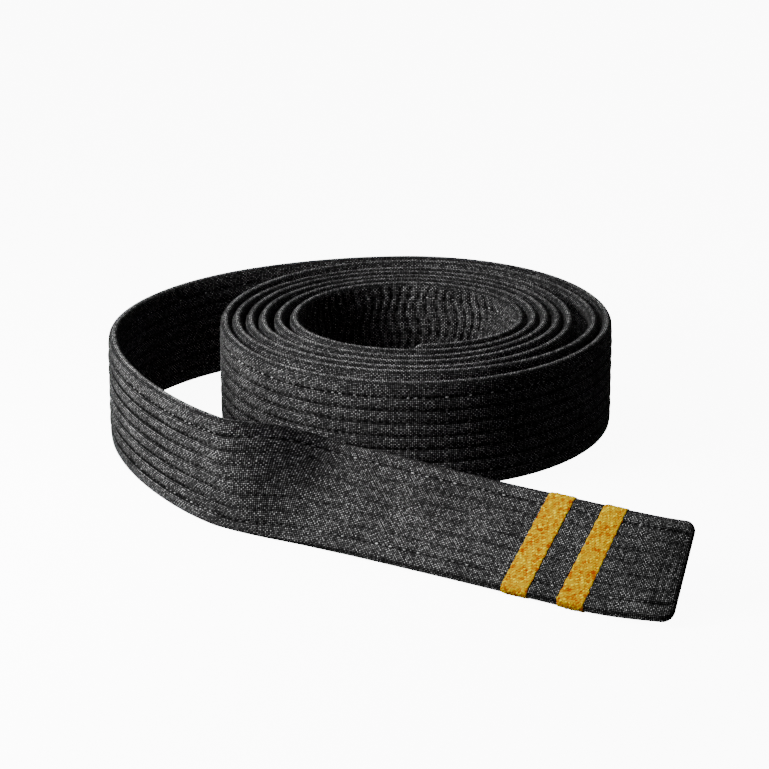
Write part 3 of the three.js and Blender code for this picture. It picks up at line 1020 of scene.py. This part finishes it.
    def crosswise(self, number: int, from_end: float, at_tip: bool, stretch: Stretch) -> bpy.types.Object:
        """Sew one row across an end, on both faces.

        Args:
            number: Its number from the end.
            from_end: Its distance from the end.
            at_tip: True for the tip, False for the inner end.
            stretch: The stretch that it is on.

        Returns:
            The piece.
        """
        route = self.relief.route
        count = int((route.strip.width - 6 * MM) / route.strip.stitch_pitch)
        w = route.strip.width / 2 + (np.arange(count) - (count - 1) / 2) * route.strip.stitch_pitch
        place = route.length - from_end if at_tip else from_end
        s = place + 0.08 * MM * ripple(w, 9 * MM, number)
        both = np.concatenate([np.ones(count), -np.ones(count)])
        end = "tip" if at_tip else "inner_end"
        name = f"end_row_{number + 1}_{end}"
        twice_s, twice_w = np.concatenate([s, s]), np.concatenate([w, w])
        piece = self._stitches(name, twice_s, twice_w, both, True, self.inner_gleam)
        stretch.fix(piece)
        return piece


@dataclass
class RankStripe:
    """A band of gold yarn sewn right round the strip: a pebbled skin with uneven edges."""

    relief: Relief
    finish: bpy.types.Material
    thickness: float = 0.20 * MM
    pebble: float = 0.34 * MM
    pebble_along: float = 1.05 * MM
    pebble_across: float = 0.92 * MM
    pebble_shift: float = 0.35  # how far the pebbles wander, as a share of one
    edge_waver: float = 0.20 * MM
    bedding: float = 0.45  # how much of the cloth's relief shows through the band
    face_points: int = 150
    edge_points: int = 20
    skin_points: int = 40

    def build(self, number: int, start: float, stretch: Stretch) -> bpy.types.Object:
        """Wrap one stripe round the strip.

        The band is a closed ring whose own section has a skin, two sides and a floor on the
        cloth. On the skin a pebble is a half-sine dome in each cell of rows set half a cell
        apart, and each dome has a height of its own.

        Args:
            number: The stripe's number from 0.
            start: Where it starts along the strip.
            stretch: The stretch that it is on.

        Returns:
            The piece.
        """
        route = self.relief.route
        strip = route.strip
        w, d, side = strip.outline(self.face_points, self.edge_points)
        girth = np.concatenate([[0], np.cumsum(np.hypot(np.diff(w), np.diff(d)))])
        across = np.linspace(0, 1, self.skin_points)
        under = across[::-10]
        profile_s = np.concatenate([across, [1, 1], under, [0, 0]])
        lift = np.concatenate([np.ones(self.skin_points), [0.6, 0.15], np.zeros(len(under)), [0.15, 0.6]])
        g, p = np.meshgrid(girth, profile_s, indexing="ij")
        waver = self.edge_waver * ripple(g, 3.4 * MM, number + 1.0)
        far_waver = self.edge_waver * ripple(g, 2.9 * MM, number + 5.0)
        s = start + waver + p * (route.stripe_width + far_waver - waver)
        shift = self.pebble_shift * ripple(s + 0.7 * g, 2.3 * MM, number + 8.0)
        height_in_rows = g / self.pebble_across + shift
        row = np.floor(height_in_rows)
        cell = (s - start) / self.pebble_along + 0.5 * np.mod(row, 2) + shift
        dome = np.abs(np.sin(np.pi * cell)) * np.abs(np.sin(np.pi * height_in_rows))
        tall = 0.25 + 0.75 * scatter(np.floor(cell) + 31 * row, number + 2.0)
        skin = np.sqrt(dome) * tall
        rounding = np.sqrt(np.clip(1 - (2 * np.abs(p - 0.5)) ** 14, 0, 1))
        height = lift * (self.thickness * (0.35 + 0.65 * rounding) + self.pebble * skin * rounding)
        grid_w, grid_d = np.broadcast_to(w[:, None], s.shape), np.broadcast_to(d[:, None], s.shape)
        grid_side = np.broadcast_to(side[:, None], s.shape)
        normal_w, normal_d = self._outward(w, d)
        bed = self.bedding * self.relief.height(s, grid_w, grid_side)
        middle = strip.width / 2
        share, trim = self.relief.taper(s)
        points = route.place(
            s,
            middle + (grid_w - middle) * (1 - trim / middle) + normal_w[:, None] * height,
            (grid_d + normal_d[:, None] * (height + bed * (lift > 0.5))) * share,
        )
        count = len(profile_s)
        rings = len(girth)
        i, j = np.meshgrid(np.arange(rings), np.arange(count), indexing="ij")
        i2, j2 = (i + 1) % rings, (j + 1) % count
        here, there = i * count, i2 * count
        quads = np.stack([here + j, here + j2, there + j2, there + j], axis=-1).reshape(-1, 4)
        piece = make_piece(f"gold_stripe_{number + 1}", points, quads.tolist(), self.finish)
        paint(piece, "relief", skin * (lift > 0.5))
        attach(piece, stretch.hold.value[-1])
        return piece

    @staticmethod
    def _outward(w: np.ndarray, d: np.ndarray) -> tuple[np.ndarray, np.ndarray]:
        """Return the unit outward way at each point of a section, a quarter turn from its run."""
        run_w = np.roll(w, -1) - np.roll(w, 1)
        run_d = np.roll(d, -1) - np.roll(d, 1)
        size = np.hypot(run_w, run_d)
        return -run_d / size, run_w / size


@dataclass
class Belt:
    """The whole belt: cover, stitch rows and rank stripes, in five stretches along the strip."""

    route: Route
    relief: Relief
    loop_hinge: Vector
    tip_hinge: Vector
    loop_reach: float = 42 * MM  # how far each side of the loop's hinge the two points kept with the loop stretch lie
    tip_reach: float = 9.5 * MM

    def stretches(self) -> list[Stretch]:
        """Cut the strip where one body holds it all the way through."""
        marks = self.route.marks
        inner_from = self.route.turn_at(5.3)
        outer_from = self.route.turn_at(1.5)
        outer_to = marks["leave"] + 40 * MM
        along = Vector((*self.route.direction(self.route.run_heading), 0))
        loop_reach = Vector((0, self.loop_reach, 0))
        loop_ends = self.loop_hinge + loop_reach, self.loop_hinge - loop_reach
        tip_ends = self.tip_hinge - along * self.tip_reach, self.tip_hinge + along * self.tip_reach
        return [
            Stretch("innermost_turn", 0, inner_from, 0.6 * MM, Hold.COIL),
            Stretch("inner_turns", inner_from, outer_from, 3 * MM, Hold.COIL),
            Stretch("outer_turns", outer_from, outer_to, 1.35 * MM, Hold.COIL),
            Stretch("loop", outer_to, marks["bend"], 1.0 * MM, Hold.LOOP, *loop_ends),
            Stretch("loose_end", marks["bend"], marks["tip"], 0.9 * MM, Hold.END, *tip_ends),
        ]

    def replaced(self, stretch: Stretch, part: str) -> list[str]:
        """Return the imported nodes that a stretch's piece stands for."""
        spans = {
            "innermost_turn": ["coil"],
            "inner_turns": ["coil"],
            "outer_turns": ["coil"],
            "loop": ["coil", "tail"],
            "loose_end": ["tail", "tip"],
        }[stretch.label]
        return [f"{part}_{span}" for span in spans]

    def build(self, cotton: bpy.types.Material, thread: bpy.types.Material, gold: bpy.types.Material) -> None:
        """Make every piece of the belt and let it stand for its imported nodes.

        Args:
            cotton: The cover's finish.
            thread: The stitching's finish.
            gold: The stripes' finish.
        """
        cover = Cover(self.relief, cotton)
        sewing = StitchRows(self.relief, thread)
        stretches = self.stretches()
        for stretch in stretches:
            piece = cover.build(stretch)
            plies = [name for ply in (1, 2, 3) for name in self.replaced(stretch, f"core_ply_{ply}")]
            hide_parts(*self.replaced(stretch, "cover"), *plies)
            log.info("%s: %d faces", piece.name, len(piece.data.polygons))
            for row in range(self.route.strip.row_count):
                sewn = sewing.lengthwise(row, stretch)
                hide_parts(*self.replaced(stretch, f"stitch_row_{row + 1}"))
            log.info("stitch rows of %s", stretch.label)
        for number, from_end in enumerate(self.relief.end_rows):
            inner = sewing.crosswise(number, from_end, False, stretches[0])
            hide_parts(f"cross_row_{number + 1}_inner_end")
            tip = sewing.crosswise(number, from_end, True, stretches[-1])
            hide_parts(f"cross_row_{number + 1}_tip")
        banding = RankStripe(self.relief, gold)
        for number, mark in enumerate(("stripe_1", "stripe_2")):
            piece = banding.build(number, self.route.marks[mark], stretches[-1])
            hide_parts(f"rank_stripe_{number + 1}")
            log.info("%s: %d faces", piece.name, len(piece.data.polygons))


@dataclass
class Studio:
    """A pale light table for a floor, soft light from the left and above, and the camera."""

    target: Vector
    aim: tuple[float, ...] = (-10 * MM, 38.5 * MM, 0)  # the target from the centre of the coil
    distance: float = 1.2
    elevation: float = np.radians(18.7)
    lens: float = 143.8
    floor_half: float = 6.0
    floor_white: float = 0.93
    floor_roughness: float = 0.9
    floor_glow: float = 10.0
    sky_seen: float = 12.0
    sky_light: float = 0.07
    key_bearing: tuple[float, float] = (-148, 28)  # degrees round from +X, and up
    key_away: float = 0.50
    key_size: float = 0.22
    key_watts: float = 5.0
    top_bearing: tuple[float, float] = (150, 66)
    top_spread: float = np.radians(30)
    top_strength: float = 1.3

    def camera(self) -> None:
        """Set the camera level with the horizon's width, looking down at the target."""
        data = bpy.data.cameras.new("camera")
        data.lens = self.lens
        data.clip_start = 0.05
        camera = bpy.data.objects.new("camera", data)
        away = Vector((0, -np.cos(self.elevation), np.sin(self.elevation)))
        camera.location = self.target + away * self.distance
        camera.rotation_euler = (-away).to_track_quat("-Z", "Y").to_euler()
        bpy.context.scene.collection.objects.link(camera)
        bpy.context.scene.camera = camera

    def floor(self) -> None:
        """Lay the pale floor."""
        mesh = bpy.data.meshes.new("floor")
        h = self.floor_half
        mesh.from_pydata([(-h, -h, 0), (h, -h, 0), (h, h, 0), (-h, h, 0)], [], [(0, 1, 2, 3)])
        wiring = Wiring("pale_floor")
        wiring.shader.inputs["Base Color"].default_value = (*[self.floor_white] * 3, 1)
        wiring.shader.inputs["Roughness"].default_value = self.floor_roughness
        wiring.shader.inputs["Emission Color"].default_value = (1, 1, 1, 1)
        wiring.shader.inputs["Emission Strength"].default_value = self.floor_glow
        mesh.materials.append(wiring.material)
        floor = bpy.data.objects.new("floor", mesh)
        bpy.context.scene.collection.objects.link(floor)
        floor.visible_diffuse = False
        floor.visible_glossy = False

    def _hang(self, light: bpy.types.Object, azimuth: float, elevation: float, away: float) -> None:
        """Hang a light round the target and turn it to face there.

        Args:
            light: The light.
            azimuth: Where it stands round the vertical, in degrees from +X.
            elevation: How high it stands, in degrees.
            away: How far it is from the target.
        """
        turn, rise = np.radians(azimuth), np.radians(elevation)
        towards = Vector((np.cos(turn) * np.cos(rise), np.sin(turn) * np.cos(rise), np.sin(rise)))
        light.location = self.target + towards * away
        light.rotation_euler = towards.to_track_quat("Z", "Y").to_euler()
        bpy.context.scene.collection.objects.link(light)

    def key(self) -> None:
        """Light the front from a square panel close by on the left, so that the far side is darker."""
        data = bpy.data.lights.new("key", "AREA")
        data.size = self.key_size
        data.energy = self.key_watts
        light = bpy.data.objects.new("key", data)
        light.visible_camera = False
        self._hang(light, *self.key_bearing, self.key_away)

    def top(self) -> None:
        """Light the rims softly from high up at the back left."""
        data = bpy.data.lights.new("top", "SUN")
        data.angle = self.top_spread
        data.energy = self.top_strength
        self._hang(bpy.data.objects.new("top", data), *self.top_bearing, 1)

    def build(self) -> None:
        """Make the camera, the floor, the lights and the sky."""
        self.camera()
        self.floor()
        self.key()
        self.top()
        self.sky()

    def sky(self) -> None:
        """Surround the scene with an even sky that looks as pale as the floor and lights it little."""
        world = bpy.data.worlds.new("sky")
        world.use_nodes = True
        tree = world.node_tree
        background = tree.nodes["Background"]
        background.inputs["Color"].default_value = (1, 1, 1, 1)
        seen = tree.nodes.new("ShaderNodeMapRange")
        tree.links.new(tree.nodes.new("ShaderNodeLightPath").outputs["Is Camera Ray"], seen.inputs["Value"])
        seen.inputs["To Min"].default_value = self.sky_light
        seen.inputs["To Max"].default_value = self.sky_seen
        tree.links.new(seen.outputs[0], background.inputs["Strength"])
        bpy.context.scene.world = world


def main() -> None:
    """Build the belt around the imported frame, in its studio."""
    hinges = {joint["name"]: Vector(joint["pos_m"]) for joint in frame["joints"]}
    far_left = Vector((*Route.loop_far_left, 0))
    centre = hinges["loop_bend"] - far_left
    centre.z = 0
    strip = Strip()
    route = Route(strip, np.array([centre.x, centre.y]))
    log.info("strip %.3f m long", route.length)
    Studio(centre + Vector(Studio.aim)).build()
    relief = Relief(route)
    belt = Belt(route, relief, hinges["loop_bend"], hinges["tip_bend"])
    belt.build(CanvasCotton().material(), BlackThread().material(), GoldYarn().material())


if __name__ == "__main__":
    logging.basicConfig(level=logging.INFO, format="%(name)s: %(message)s")
    main()
